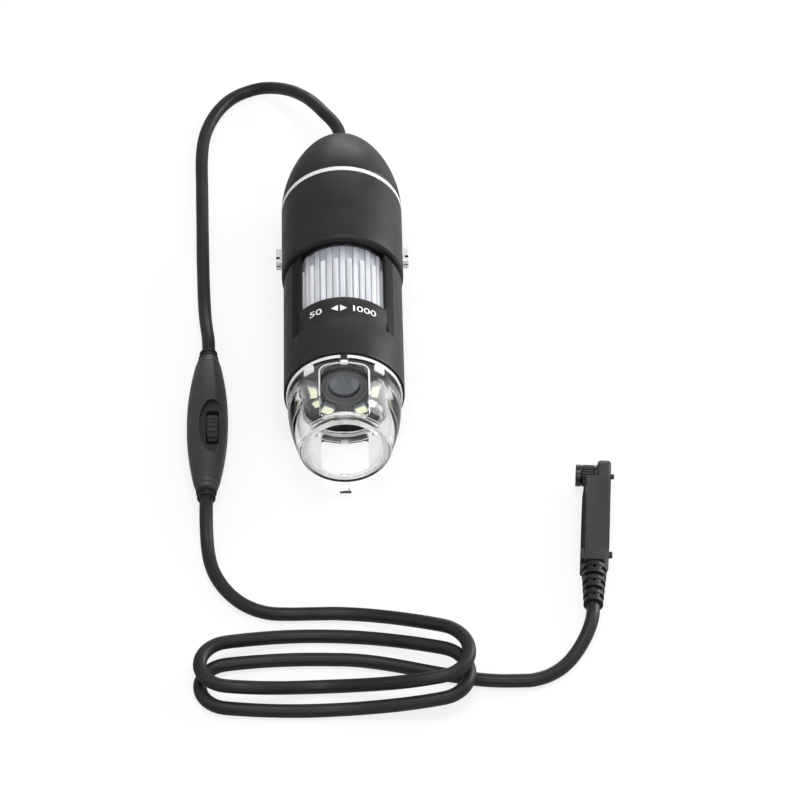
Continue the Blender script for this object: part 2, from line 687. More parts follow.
tail_outline = [(shell_in, tail_from), (barrel_r - 0.22, tail_from), (barrel_r - 0.06, tail_from + 0.25)]
tail_outline += [ogive(math.sin(math.pi / 2 * i / tail_steps)) for i in range(1, tail_steps + 1)]
tail_outline += [(tail_bore_r, tail_to), (tail_bore_r, tail_to - tail_bore_deep)]
for i in range(hollow_steps, 0, -1):
    r, station = ogive(hollow_share * i / hollow_steps)
    tail_outline.append((max(r - shell_wall, tail_bore_r), station))
seat(lathe("ogive_tail", tail_outline, shell_black, steps=128), "casing", "black_shell", "tail_shell")

ring_from, ring_gap = 91.2, 0.05
ring_outline = softened(
    rectangle(shell_in, barrel_r + 0.02, ring_from + ring_gap, tail_from - ring_gap), 0.2)
seat(lathe("bright_ring", ring_outline, trim_silver, steps=128), "casing", "trim", "trim_ring")

grommet_outline = softened([
    (1.8, 110.5), (2.6, 110.5), (2.6, 118.4), (3.0, 119.1), (2.5, 120.2), (1.8, 120.4)], 0.4, 4)
seat(lathe("tail_grommet", grommet_outline, jacket_black, steps=48), "casing", "cord_black", "cord_grommet")

# %% [markdown]
# ### The plain barrel and its two key pockets
# The barrel is a tube with a rolled front lip over the parting groove. The pockets for the side keys have
# round corners, which a turned outline can't have, so they are carved out with a rounded prism on each
# side.

# %% Turn the barrel and carve its key pockets
barrel_from, barrel_to, lip_r = 64.6, ring_from, 16.45
key_station, key_long, key_high, key_corner = 73.3, 5.4, 3.2, 1.2
pocket_reach, pocket_gap, pocket_in, pocket_out = 3.7, 0.3, 12.0, 18.0
barrel_outline = softened([
    (shell_in, barrel_from), (lip_r - 0.55, barrel_from), (lip_r, barrel_from + 0.55),
    (lip_r, barrel_from + 1.5), (barrel_r, barrel_from + 1.62), (barrel_r, key_station - pocket_reach),
    (barrel_r, key_station + pocket_reach), (barrel_r, barrel_to - 0.12), (barrel_r - 0.2, barrel_to),
    (shell_in, barrel_to)], 0.15, 2)
barrel = lathe("plain_barrel", barrel_outline, shell_black, steps=128)


def key_pocket(name, side):
    """A rounded prism that leaves a gap all round a side key."""
    outline = rounded_rectangle(key_long + 2 * pocket_gap, key_high + 2 * pocket_gap, key_corner + pocket_gap)
    return to_object(name, prism(outline, pocket_in, pocket_out, lambda along, up, out: by_axis(
        side * out, key_station + along, up)), shell_black)


carve(barrel, key_pocket("left_pocket", -1), key_pocket("right_pocket", 1))
seat(barrel, "casing", "black_shell", "rear_barrel")

# %% [markdown]
# ### The front sleeve
# The sleeve is a tube with a window over the wheel, a shallow panel in front of it and a small index tab
# over the nose. A grid of cells round the tube says how thick each cell is, or that it is cut through, and
# the walls follow from the neighbours. That keeps clean four-sided faces for the rounding of the edges,
# which a carved mesh wouldn't have.

# %% A tube from cells


def cell_tube(turns, stations, inner, outer, place):
    """A tube round an axis. outer(turn, station) gives a cell's radius, or None where it is cut through.
    The walls between cells take the piece's second finish."""
    shape = bmesh.new()
    corners = {}
    columns, rows = len(turns), len(stations) - 1

    def corner(i, j, r):
        key = (i % columns, j, round(r, 4))
        if key not in corners:
            corners[key] = shape.verts.new(place(r, turns[i % columns], stations[j]))
        return corners[key]

    def middle(i):
        after = turns[(i + 1) % columns] + (360.0 if i + 1 >= columns else 0.0)
        return (turns[i] + after) / 2

    size = {(i, j): round(outer(middle(i), (stations[j] + stations[j + 1]) / 2) or inner, 4)
            for i in range(columns) for j in range(rows)}
    levels = sorted(set(size.values()) | {inner})

    def wall(a, b, r1, r2):
        low, high = min(r1, r2), max(r1, r2)
        steps = [r for r in levels if low <= r <= high]
        for r, s in zip(steps, steps[1:]):
            side = shape.faces.new((corner(*a, r), corner(*b, r), corner(*b, s), corner(*a, s)))
            side.material_index = 1

    for (i, j), r in size.items():
        if r > inner:
            for level in (r, inner):
                shape.faces.new([corner(*c, level) for c in ((i, j), (i + 1, j), (i + 1, j + 1), (i, j + 1))])
        wall((i + 1, j), (i + 1, j + 1), r, size[((i + 1) % columns, j)])
        wall((i, j + 1), (i + 1, j + 1), r, size.get((i, j + 1), inner))
        if j == 0:
            wall((i, 0), (i + 1, 0), inner, r)
    return shape


# %% Build the sleeve
sleeve_from, sleeve_to, groove_from = 20.5, barrel_from, 62.4
sleeve_r, sleeve_in, panel_r = 16.0, 14.2, 15.1
panel_from, window_from, window_half = 33.3, 42.6, 49.0
shoulder_half, shoulder_r, shoulder_in = 57.5, 15.1, 14.6
plain_turns = {-180 + 2.5 * i for i in range(144)}
beside_window = {turn for turn in plain_turns if 50.0 <= abs(turn) <= 55.0}
sleeve_turns = sorted(plain_turns - beside_window | {-window_half, window_half})
sleeve_stations = [sleeve_from, sleeve_from + 1.2, 27.0, panel_from, 38.0, window_from, 48.0, 54.0,
                   groove_from - 1.0, groove_from, sleeve_to]


def sleeve_cell(turn, station):
    """The sleeve's outer radius: window, panel, parting groove or plain tube."""
    if abs(turn) < window_half and station > window_from:
        return None
    if station > groove_from or (abs(turn) < window_half and station > panel_from):
        return panel_r
    return sleeve_r


def sleeve_place(r, turn, along):
    """A point on the sleeve, with the window's and the panel's side edges let down."""
    let_down = r == sleeve_r and abs(abs(turn) - window_half) < 0.1 and along > panel_from + 0.1
    return on_barrel(shoulder_r if let_down else r, turn, along)


sleeve = to_object("window_sleeve", cell_tube(
    sleeve_turns, sleeve_stations, sleeve_in, sleeve_cell, sleeve_place), shell_black)
sleeve.data.materials.append(inner_black)
for face in sleeve.data.polygons:
    out = Vector((face.center.x, 0.0, face.center.z - axis_z * MM))
    turn = abs(math.degrees(math.atan2(out.x, out.z)))
    past_panel_front = face.center.y > (mouth_y + panel_from) * MM
    if past_panel_front and window_half < turn < shoulder_half and out.length > shoulder_in * MM:
        face.material_index = 1
round_edges(sleeve, 0.25, 3)
seat(sleeve, "casing", "black_shell", "front_sleeve", sharp=28)

tab_wide, tab_from, tab_to, tab_low, tab_high = 1.8, 18.7, 20.7, 14.4, 15.6
tab_outline = softened(rectangle(-tab_wide / 2, tab_wide / 2, tab_from, tab_to), 0.3)
tab = to_object("index_tab", prism(tab_outline, tab_low, tab_high, by_axis), shell_black)
seat(round_edges(tab, 0.12), "casing", "black_shell")

# %% [markdown]
# ### Rings of copies
# Ribs on the wheel, lugs on the nose, the lights, the knurl of the screw and the ridges of the thumbwheel
# are all one small shape repeated round an axis. Geometry Nodes do that in one tree: points on a circle,
# one copy on each, turned outwards. The tree's inputs are the shape, the count, the circle's radius, the
# first angle and the step, so one function makes it for every ring. Its result is baked to a plain mesh and
# then laid on its axis.

# %% A tree for rings of copies


def ring_tree(name, material):
    """Copies of an object on a circle in the XY plane, each with its X axis outwards."""
    group = bpy.data.node_groups.new(name, "GeometryNodeTree")
    group.is_modifier = True
    for label, kind in (("Item", "Object"), ("Count", "Int"), ("Radius", "Float"), ("First angle", "Float"),
                        ("Step", "Float")):
        group.interface.new_socket(name=label, in_out="INPUT", socket_type="NodeSocket" + kind)
    group.interface.new_socket(name="Geometry", in_out="OUTPUT", socket_type="NodeSocketGeometry")
    given = add_node(group, "NodeGroupInput").outputs
    index = add_node(group, "GeometryNodeInputIndex").outputs[0]
    angle = math_of(group, "ADD", math_of(group, "MULTIPLY", index, given["Step"]), given["First angle"])
    x, y = (math_of(group, "MULTIPLY", math_of(group, wave, angle), given["Radius"])
            for wave in ("COSINE", "SINE"))
    spot = add_node(group, "ShaderNodeCombineXYZ", x, y)
    turn = add_node(group, "ShaderNodeCombineXYZ", Z=angle)
    facing = add_node(group, "FunctionNodeEulerToRotation", turn.outputs[0])
    points = add_node(group, "GeometryNodePoints", Count=given["Count"], Position=spot.outputs[0])
    item = add_node(group, "GeometryNodeObjectInfo", Object=given["Item"])
    copies = add_node(group, "GeometryNodeInstanceOnPoints", Points=points.outputs[0],
                      Instance=item.outputs["Geometry"], Rotation=facing.outputs[0])
    real = add_node(group, "GeometryNodeRealizeInstances", copies.outputs[0])
    dressed = add_node(group, "GeometryNodeSetMaterial", Geometry=real.outputs[0], Material=material)
    add_node(group, "NodeGroupOutput", dressed.outputs[0])
    return group


def ring_of(name, item, count, radius, axis, material, first=0.0, step=None):
    """Bakes a ring of copies of item, radius in millimetres and angles in degrees, and lays it on an axis."""
    group = ring_tree(name + "_ring", material)
    piece = bpy.data.objects.new(name, bpy.data.meshes.new(name))
    scene.collection.objects.link(piece)
    layer = piece.modifiers.new("ring", "NODES")
    layer.node_group = group
    values = {"Item": item, "Count": count, "Radius": radius * MM, "First angle": math.radians(first),
              "Step": math.radians(360.0 / count if step is None else step)}
    for socket in group.interface.items_tree:
        if socket.in_out == "INPUT":
            layer[socket.identifier] = values[socket.name]
    bake(piece)
    piece.data.transform(axis)
    bpy.data.objects.remove(item)
    bpy.data.node_groups.remove(group)
    return piece


# %% What the rings are made of and lie on


def bar(name, thick, wide, long, rounding, material):
    """A small rounded bar: thick along X, wide along Y and long along Z, with its middle at the origin."""
    shape = prism(rounded_rectangle(thick, wide, rounding, 3), -long / 2, long / 2,
                  lambda x, y, z: Vector((x, y, z)) * MM)
    return round_edges(to_object(name, shape, material), min(rounding, 0.15), 1, 60)


def shifted(axis, along):
    """The same axis, moved along itself by some millimetres."""
    return axis @ Matrix.Translation((0, 0, along * MM))


# A ring drawn round Z is laid round the barrel's axis: X becomes up, Y becomes right, and Z runs along.
barrel_axis = Matrix(((0, 1, 0, 0), (0, 0, 1, mouth_y * MM), (1, 0, 0, axis_z * MM), (0, 0, 0, 1)))
print("the barrel's axis lies", axis_z, "mm above the table")

# %% [markdown]
# ## The focus wheel
# The wheel is a pale drum with raised ribs that a thumb can push. The drum is turned from an outline with a
# rounded rim at each end, and the ribs are two rings of bars. Every second bar is shorter, so their ends
# make the toothed edge that shows at the top of the window.

# %% Make the wheel and its ribs
wheel_from, wheel_to, wheel_r, wheel_root_r, wheel_bore_r = 41.0, 65.2, 13.4, 12.6, 10.6
ribs_a_ring, rib_wide, rib_high, rib_from = 23, 1.46, 1.0, 41.6
drum_outline = softened(rectangle(wheel_bore_r, wheel_root_r, wheel_from, wheel_to), 0.4)
drum = lathe("wheel_drum", drum_outline, flute_grey, steps=138)
seat(drum, "focus_ring", "wheel_white", "focus_wheel")
for length_name, rib_to, rib_finish, first_turn in (
        ("long", 64.2, wheel_pearl, 0.0), ("short", 59.6, wheel_white, 180.0 / ribs_a_ring)):
    rib = bar("wheel_rib", rib_high, rib_wide, rib_to - rib_from, 0.25, rib_finish)
    ribs = ring_of(length_name + "_wheel_ribs", rib, ribs_a_ring, wheel_r - rib_high / 2,
                   shifted(barrel_axis, (rib_from + rib_to) / 2), rib_finish, first_turn)
    seat(ribs, "focus_ring", "wheel_white")

# %% [markdown]
# ## The scale panel
# Such a panel tells which way the wheel magnifies. Plain numbers and two arrows do that without any maker's
# sign. Text is made as a font curve, turned into a mesh, and then wrapped round the panel's radius, a
# twentieth of a millimetre proud as pad-printed ink is.

# %% Print the numbers on the panel
ink_proud, ink_sunk, ink_height, panel_line = 0.05, 0.02, 2.1, 38.3
arrow_tip, arrow_back, arrow_half = 1.0, 0.85, 1.15


def wrap_on_panel(shape, turn):
    """Bends a flat drawing in millimetres round the panel, centred at a turn."""
    for vert in shape.verts:
        x, y, z = vert.co
        vert.co = on_barrel(panel_r + z, turn + math.degrees(x / panel_r), panel_line + y)


def numeral(text, width, turn):
    """A number of a given width in millimetres, as ink on the panel."""
    curve = bpy.data.curves.new("numeral", "FONT")
    curve.body = text
    curve.align_x = "CENTER"
    curve.align_y = "CENTER"
    curve.offset = 0.004
    curve.extrude = 0.001
    curve.resolution_u = 6
    writing = bpy.data.objects.new("numeral", curve)
    scene.collection.objects.link(writing)
    bpy.context.view_layer.update()
    graph = bpy.context.evaluated_depsgraph_get()
    mesh = bpy.data.meshes.new_from_object(writing.evaluated_get(graph))
    bpy.data.objects.remove(writing)
    shape = bmesh.new()
    shape.from_mesh(mesh)
    bpy.data.meshes.remove(mesh)
    bmesh.ops.remove_doubles(shape, verts=shape.verts, dist=1e-5)
    low = [min(v.co[k] for v in shape.verts) for k in (0, 1)]
    high = [max(v.co[k] for v in shape.verts) for k in (0, 1)]
    for vert in shape.verts:
        x = (vert.co.x - (low[0] + high[0]) / 2) / (high[0] - low[0]) * width
        y = (vert.co.y - (low[1] + high[1]) / 2) / (high[1] - low[1]) * ink_height
        vert.co = (x, y, ink_proud if vert.co.z > 0 else -ink_sunk)
    wrap_on_panel(shape, turn)
    return shape


def arrow(way, turn):
    """A small solid triangle that points left or right on the panel."""
    outline = softened([
        (way * arrow_tip, 0.0), (way * -arrow_back, arrow_half), (way * -arrow_back, -arrow_half)], 0.1)
    shape = prism(outline, -ink_sunk, ink_proud, lambda x, y, z: Vector((x, y, z)))
    wrap_on_panel(shape, turn)
    return shape


ink = bmesh.new()
for mark in (numeral("50", 3.7, -29.0), arrow(-1, -8.5), arrow(1, 0.2), numeral("1", 0.5, 11.0),
             numeral("000", 5.6, 24.5)):
    sheet = bpy.data.meshes.new("mark")
    mark.to_mesh(sheet)
    mark.free()
    ink.from_mesh(sheet)
    bpy.data.meshes.remove(sheet)
seat(to_object("dial_numbers", ink, ink_white), "casing", None)

# %% [markdown]
# ## The clear nose
# The nose is one clear moulding: a flange that sits in the sleeve's mouth, a tapering wall with two access
# windows, and a rolled rim round the mouth. Clear plastic needs true wall thickness, as light bends at both
# faces. The wall is turned, and the windows are carved, which leaves the edges that catch the bright lines.
# The flat face round the mouth is frosted: clear, it would pipe the black of the barrel to the eye.

# %% Turn the nose and open its windows
nose_mouth_r, nose_swell, nose_wall, nose_taper = 11.5, 3.5, 1.6, 18.3
flange_from, flange_to, flange_r = 18.3, 20.4, 15.4
spigot_to, spigot_r, spigot_in = 24.2, 14.1, 12.5


def nose_r(along):
    """The nose's outer radius at a distance from the mouth."""
    return nose_mouth_r + nose_swell * (1 - (1 - min(along / nose_taper, 1.0)) ** 2.4)


nose_outline = [(nose_r(0) - nose_wall, 0.0), (nose_r(0) + 0.05, 0.0), (nose_r(0.9) + 0.22, 0.7),
                (nose_r(1.5) + 0.22, 1.35), (nose_r(1.8), 1.7)]
nose_outline += [(nose_r(a), a) for a in (2.6, 4, 5.5, 7, 8.5, 10, 11.5, 13, 14.5, 16, 17.4)]
nose_outline += [(nose_r(18.0) + 0.05, 18.1), (flange_r - 0.5, flange_from), (flange_r - 0.35, 18.55),
                 (flange_r - 0.35, 20.2), (flange_r - 0.5, flange_to), (spigot_r, flange_to),
                 (spigot_r, spigot_to - 0.3), (spigot_r - 0.3, spigot_to), (spigot_in, spigot_to)]
nose_outline += [(min(nose_r(a) - nose_wall, spigot_in), a) for a in (20, 17, 14, 11, 8.5, 6, 4, 2.5, 1.2)]
nose = lathe("nose_wall", nose_outline, clear_acrylic, steps=120)
window_wide, window_low, window_high, window_corner = 12.6, 2.2, 17.5, 1.5
cut_from, cut_to = 6.0, 19.0


def nose_window(name, up):
    """A rounded prism through the nose's wall, above or below the lens."""
    outline = [(x, y + (window_low + window_high) / 2)
               for x, y in rounded_rectangle(window_wide, window_high - window_low, window_corner)]
    return to_object(name, prism(outline, cut_from, cut_to, lambda x, along, out: by_axis(
        x, along, up * out)), clear_acrylic)


carve(nose, nose_window("upper_window", 1), nose_window("lower_window", -1))
nose.data.materials.append(milky_acrylic)
for face in nose.data.polygons:
    if face.normal.y < -0.95 and face.center.y < (mouth_y + 0.1) * MM:
        face.material_index = len(nose.data.materials) - 1
seat(nose, "nose", "clear_nose", "nose_cap", sharp=24)

# %% [markdown]
# ### Beads, lugs and the pull tab
# A raised bead runs over the back of each access window and down its sides. The upper bead, the flange's
# edge and the six lugs in front of it are milkier than the wall, because the tool was polished differently
# there. Between the lugs a narrow gap stays open, which looks dark. The rim of the mouth is looked at
# edge-on, where clear plastic turns dark, so it has a finish of its own that darkens towards the table, and
# the lower bead shares it. A small tab at the bottom of the rim gives the fingernail a hold.

# %% Run a bead round each window
bead_from = 8.0
bead_section = ((1.0, -0.1), (1.0, 0.05), (0.7, 0.13), (0.3, 0.13), (0.0, 0.05), (0.0, -0.1))


def edge_bead(name, up, bead_wide, material):
    """A thin rounded bead over the back of a nose window and down both its sides, bent to the wall."""
    side, top, corner, step = window_wide / 2, window_high, window_corner, math.radians(15.0)
    path = [(-side, bead_from + k * (top - corner - bead_from) / 10, -1.0, 0.0) for k in range(10)]
    path += [(-side + corner * (1 - math.cos(k * step)), top - corner * (1 - math.sin(k * step)),
              -math.cos(k * step), math.sin(k * step)) for k in range(7)]
    path += [(-side + corner + k * (side - corner) / 6, top, 0.0, 1.0) for k in range(1, 7)]
    path += [(-x, a, -across, along) for x, a, across, along in reversed(path[:-1])]
    shape = bmesh.new()
    rows = []
    for x, a, across, along in path:
        row = []
        for share, lift in bead_section:
            px, py = x + across * share * bead_wide, a + along * share * bead_wide
            wall = nose_r(py) + lift
            row.append(shape.verts.new(by_axis(px, py, up * math.sqrt(wall ** 2 - px ** 2))))
        rows.append(row)
    return to_object(name, skin(shape, rows, False), material)


seat(edge_bead("upper_bead", 1, 0.42, milky_acrylic), "nose", "clear_nose")
seat(edge_bead("lower_bead", -1, 0.22, rim_acrylic), "nose", "clear_nose")

# %% Add the lugs, the band and the rim
band_from, band_to, gap_wide = 19.2, 20.3, 0.4
lug_high, lug_ring_r = 0.9, 14.85
for lug_name, lug_wide, lug_from, lug_to, first_turn, turn_step in (
        ("narrow_lugs", 2.0, 17.4, tab_from - 0.1, 0.0, 180.0),
        ("upper_wide_lugs", 3.2, 16.9, band_from + 0.1, -38.0, 76.0),
        ("lower_wide_lugs", 3.2, 16.9, band_from + 0.1, 142.0, 76.0)):
    lug = bar("flange_lug", lug_high, lug_wide, lug_to - lug_from, 0.3, milky_acrylic)
    lugs = ring_of(lug_name, lug, 2, lug_ring_r, shifted(barrel_axis, (lug_from + lug_to) / 2),
                   milky_acrylic, first_turn, turn_step)
    seat(lugs, "nose", "clear_nose")
gap_outline = rectangle(flange_r - 0.5, flange_r - 0.08, band_from - gap_wide, band_from - 0.03)
for gap_name, gap_turn in (("right_flange_gap", 5.0), ("left_flange_gap", -32.0)):
    gap = to_object(gap_name, turned(gap_outline, on_barrel, 18, gap_turn, 27.0), inner_black)
    seat(gap, "nose", "clear_nose")
band_outline = softened(rectangle(flange_r - 0.33, flange_r, band_from, band_to), 0.12)
seat(lathe("flange_band", band_outline, milky_acrylic, steps=120), "nose", "clear_nose")
rim_outline = softened([
    (nose_mouth_r - 0.8, -0.02), (nose_mouth_r + 0.1, -0.02), (nose_mouth_r + 0.35, 0.3),
    (nose_mouth_r + 0.62, 1.0), (nose_mouth_r + 0.25, 0.8), (nose_mouth_r - 0.8, -0.35)], 0.08)
seat(lathe("mouth_rim", rim_outline, rim_acrylic, steps=120), "nose", "clear_nose")

# %% Hang the pull tab on the rim
lip_down = 14.75


def below_axis(x, down, along):
    """A point below the barrel's axis, for outlines drawn on the nose's front."""
    return by_axis(x, along, -down)


pull_outline = softened([
    (-1.2, 11.9), (1.2, 11.9), (1.2, 14.2), (0.8, 14.7), (-0.8, 14.7), (-1.2, 14.2)], 0.3)
pull_tab = to_object("pull_tab", prism(pull_outline, -0.8, 1.4, below_axis), clear_acrylic)
seat(round_edges(pull_tab, 0.15), "nose", "clear_nose")
lip_outline = [(x, lip_down + y) for x, y in rounded_rectangle(3.0, 0.3, 0.12, 3)]
tab_lip = to_object("pull_tab_lip", prism(lip_outline, -0.95, -0.45, below_axis), rim_acrylic)
seat(tab_lip, "nose", "clear_nose")

# %% [markdown]
# ## The side keys
# Each key is a plated cap with a notch across it and a short slit in its front end, so that a finger finds
# it. The CAD's key is a plain rounded block. Here a stepped outline, seen from above, is drawn out to the
# key's height and rounded, so the plating has edges to glint on. The notch and the slit are carved with
# dark blocks, because carving lets the new faces keep the dark finish of the block that made them.

# %% Make the two keys
key_in, key_out, key_flange, key_step = 12.6, 18.0, 13.6, 0.6
notch_from, notch_to, notch_deep = -1.5, -0.65, 1.0
slit_to, slit_half, slit_deep = -2.0, 0.2, 1.2


def side_key(name, side):
    """A stepped plated key on one side of the barrel, with a dark notch and a dark slit."""
    half = key_long / 2

    def block(label, outline, half_high, material):
        return to_object(label, prism(outline, -half_high, half_high, lambda out, along, up: by_axis(
            side * out, key_station + along, up)), material)

    def cutter(label, deep, low, high, half_high):
        return block(label, rectangle(key_out - deep, key_out + 1.0, low, high), half_high, inner_black)

    piece = block(name, [
        (key_in, half + key_step), (key_flange, half + key_step), (key_flange, half), (key_out, half),
        (key_out, -half), (key_flange, -half), (key_flange, -half - key_step), (key_in, -half - key_step)],
        key_high / 2, key_chrome)
    round_edges(piece, 0.25, 3, 25)
    return carve(piece, cutter("notch", notch_deep, notch_from, notch_to, key_high),
                 cutter("slit", slit_deep, -key_long, slit_to, slit_half))


seat(side_key("left_plated_key", -1), "left_button", "key_chrome", "left_key")
seat(side_key("right_plated_key", 1), "right_button", "key_chrome", "right_key")

# %% [markdown]
# ## Lens and lights
# Behind the nose a dark lens barrel stands in a ring-shaped board with six small lights. The lens barrel is
# turned with the fine steps that cut stray light, and its front glass is a shallow dome. Each light is a
# grey package with a pale phosphor face, and both are rings of copies, since the lights sit evenly spaced.

# %% Turn the lens barrel and its glass
lens_front = 23.0
lens_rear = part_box("lens_barrel")[1].y / MM - mouth_y
lens_outline = softened([
    (5.25, lens_rear), (6.5, lens_rear), (6.5, 27.2), (6.3, 27.0), (6.3, 26.6), (6.5, 26.4), (6.5, 23.7),
    (6.1, lens_front), (5.75, lens_front), (5.6, 23.5), (5.3, 23.5), (5.15, 24.2), (5.15, 24.6),
    (5.25, 24.7)], 0.12, 2)
seat(lathe("stepped_lens_barrel", lens_outline, lens_grey), "lens_unit", "lens_grey", "lens_barrel")
glass_front, glass_back = (corner.y / MM - mouth_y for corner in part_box("front_lens"))
glass_r, glass_bulge, glass_steps = 5.05, 0.9, 12
glass_shares = [k / glass_steps for k in range(1, glass_steps + 1)]
glass_outline = [(0.0, glass_front)]
glass_outline += [(glass_r * share, glass_front + glass_bulge * share ** 2) for share in glass_shares]
glass_outline += [(glass_r, glass_back - 0.2), (glass_r - 0.2, glass_back), (0.0, glass_back)]
seat(lathe("domed_front_lens", glass_outline, lens_glass, steps=72), "lens_unit", "lens_glass", "front_lens")
print("lens from", round(glass_front, 2), "to", round(lens_rear, 2), "mm behind the mouth")

# %% Set the six lights
led_face, led_board_front, led_ring_r, led_step = 22.6, 24.5, 9.1, 30.0
led_wide, led_high, led_lip = 3.5, 2.8, 0.25
led_base = led_face + led_lip
for side_name, led_first in (("right", 90.0), ("left", 210.0)):
    package = bar("light_package_item", led_high, led_wide, led_board_front - led_base, 0.25, led_package)
    packages = ring_of(side_name + "_light_packages", package, 3, led_ring_r,
                       shifted(barrel_axis, (led_base + led_board_front) / 2), led_package, led_first,
                       led_step)
    face = bar("light_face_item", led_high - 0.5, led_wide - 0.5, 2 * led_lip, 0.5, led_phosphor)
    faces = ring_of(side_name + "_light_faces", face, 3, led_ring_r, shifted(barrel_axis, led_base),
                    led_phosphor, led_first, led_step)
    seat(packages, "casing", "led", "leds")
    seat(faces, "casing", "led")

# %% [markdown]
# ## The in-line dimmer
# The dimmer is a spindle of two halves that meet at the height of the cord, with a flat foot. In the hand
# it feels slightly faceted, which is what gives it several soft light bands instead of one. Its outline is
# therefore a circle that leans a little towards an octagon, and it narrows along a shallow arc. The oval
# dish for the thumb and the slot for the wheel are carved.

# %% Mould the two halves
dimmer_x, dimmer_y, dimmer_z = -36.5, -37.5, 5.0
dimmer_half, dimmer_plain, dimmer_r, dimmer_arc_r = 24.5, 20.9, 5.65, 110.51
dimmer_facets, dimmer_facet_share = 8, 0.33
end_grooves = (
    (21.3, 0.0), (21.5, 0.3), (21.8, 0.3), (22.0, 0.08), (23.0, 0.1), (23.2, 0.4), (23.4, 0.4), (23.6, 0.15),
    (24.2, 0.2), (dimmer_half, 0.5))


def spindle_r(along):
    """The dimmer's radius at a distance from its middle."""
    return dimmer_r - dimmer_arc_r + math.sqrt(dimmer_arc_r ** 2 - along ** 2)


def on_dimmer(r, turn, along):
    """A point round the dimmer: radius, degrees from the top, millimetres from its middle."""
    half_wedge = 180.0 / dimmer_facets
    off_flat = (turn + half_wedge) % (2 * half_wedge) - half_wedge
    flat = math.cos(math.radians(half_wedge)) / math.cos(math.radians(off_flat))
    leaned = r * (1.0 - dimmer_facet_share * (1.0 - flat))
    t = math.radians(turn)
    up = max(dimmer_z + leaned * math.cos(t), 0.0)
    return Vector((dimmer_x + leaned * math.sin(t), dimmer_y + along, up)) * MM


def spindle_half(name, first, last):
    """Half of the spindle between two turns, closed along the parting plane."""
    end = [(spindle_r(z) - sink, z) for z, sink in end_grooves]
    middle = [(spindle_r(z), z) for z in (dimmer_plain * (k / 22 - 1) for k in range(45))]
    outline = [(0.0, -dimmer_half), *((r, -z) for r, z in reversed(end)), *middle, *end, (0.0, dimmer_half)]
    return to_object(name, turned(outline, on_dimmer, 60, first, last - first), dimmer_black)


upper = spindle_half("dimmer_upper_half", -89.2, 89.2)
lower = spindle_half("dimmer_lower_half", 90.8, 269.2)
print("dimmer:", 2 * dimmer_half, "mm long")

# %% Carve the dish and the wheel's slot
dish_x, dish_along, dish_half_w, dish_half_l = 1.5, -4.7, 3.6, 9.5
dish_floor, dish_top, slot_floor, room_floor, room_top = 4.0, 9.0, -1.0, -3.6, 1.0


def in_dish(x, along, up):
    """A point by the middle of the dimmer's dish, up from the height of the cord."""
    return Vector((dimmer_x + dish_x + x, dimmer_y + dish_along + along, dimmer_z + up)) * MM


dish_outline = [(dish_half_w * math.cos(t), dish_half_l * math.sin(t))
                for t in (2 * math.pi * k / 64 for k in range(64))]
slot_outline = rounded_rectangle(3.4, 12.4, 0.8)
dish = to_object("dish", prism(dish_outline, dish_floor, dish_top, in_dish), recess_black)
slot = to_object("slot", prism(slot_outline, slot_floor, dish_top, in_dish), recess_black)
wheel_room = to_object("wheel_room", prism(slot_outline, room_floor, room_top, in_dish), dimmer_black)
carve(upper, dish, slot)
carve(lower, wheel_room)
seat(upper, "casing", "dimmer_black", "dimmer_top_shell", sharp=26)
seat(lower, "casing", "dimmer_black", "dimmer_bottom_shell", sharp=26)

# %% [markdown]
# ### Collars and thumbwheel
# Where the cord goes in, a rubber collar is moulded onto it in steps: a block, a groove and a thin end
# ring. One turned outline serves both ends, mirrored. The thumbwheel turns across the dimmer, and only its
# ridged edge stands up in the dish.

# %% Turn the collars and the thumbwheel
collar_outline = softened([
    (0.0, 22.8), (2.0, 22.8), (2.0, 24.55), (2.75, 24.6), (2.7, 25.2), (2.0, 25.4), (2.0, 26.3), (2.45, 26.4),
    (2.45, 27.0), (1.9, 27.2), (0.0, 27.2)], 0.15)


def on_cord(r, turn, along):
    """A point round the cord's line through the dimmer."""
    t = math.radians(turn)
    return Vector((dimmer_x + r * math.sin(t), dimmer_y + along, dimmer_z + r * math.cos(t))) * MM


def cord_collar(name, way):
    """A stepped collar at the dimmer's rear end, or mirrored at its front end."""
    return lathe(name, [(r, way * a) for r, a in collar_outline], jacket_black, on_cord, 48)


rear_collar = seat(cord_collar("rear_collar", 1), "casing", "cord_black", "dimmer_collars")
front_collar = seat(cord_collar("front_collar", -1), "casing", "cord_black")

thumb_x, thumb_y, thumb_z = dimmer_x + dish_x, dimmer_y + dish_along, 6.9
thumb_r, thumb_wide, thumb_bore_r = 4.7, 3.0, 0.85
thumb_axis = Matrix((
    (0, 0, 1, thumb_x * MM), (1, 0, 0, thumb_y * MM), (0, 1, 0, thumb_z * MM), (0, 0, 0, 1)))


def on_thumb(r, turn, along):
    """A point round the thumbwheel's axis."""
    t = math.radians(turn)
    return thumb_axis @ (Vector((r * math.cos(t), r * math.sin(t), along)) * MM)


thumb_outline = softened(rectangle(thumb_bore_r, thumb_r - 0.3, -thumb_wide / 2, thumb_wide / 2), 0.3)
thumb = lathe("thumbwheel_disc", thumb_outline, recess_black, on_thumb, 80)
seat(thumb, "dimmer_dial", "thumb_black", "dimmer_wheel")
ridge = bar("thumb_ridge", 0.5, 0.75, thumb_wide - 0.3, 0.2, recess_black)
ridges = ring_of("thumbwheel_ridges", ridge, 20, thumb_r - 0.25, thumb_axis, recess_black)
seat(ridges, "dimmer_dial", "thumb_black")

# %% [markdown]
# ## The plug
# The plug lies on its narrow side, turned by four degrees. Its shell is a flat box that carries a rounded
# lug, and the lug holds a thumbscrew. A thin cover closes the side away from the contacts. Both are drawn
# as outlines seen from above and rounded. The lug is joined on by carving's opposite, a union, so that no
# face stays inside.

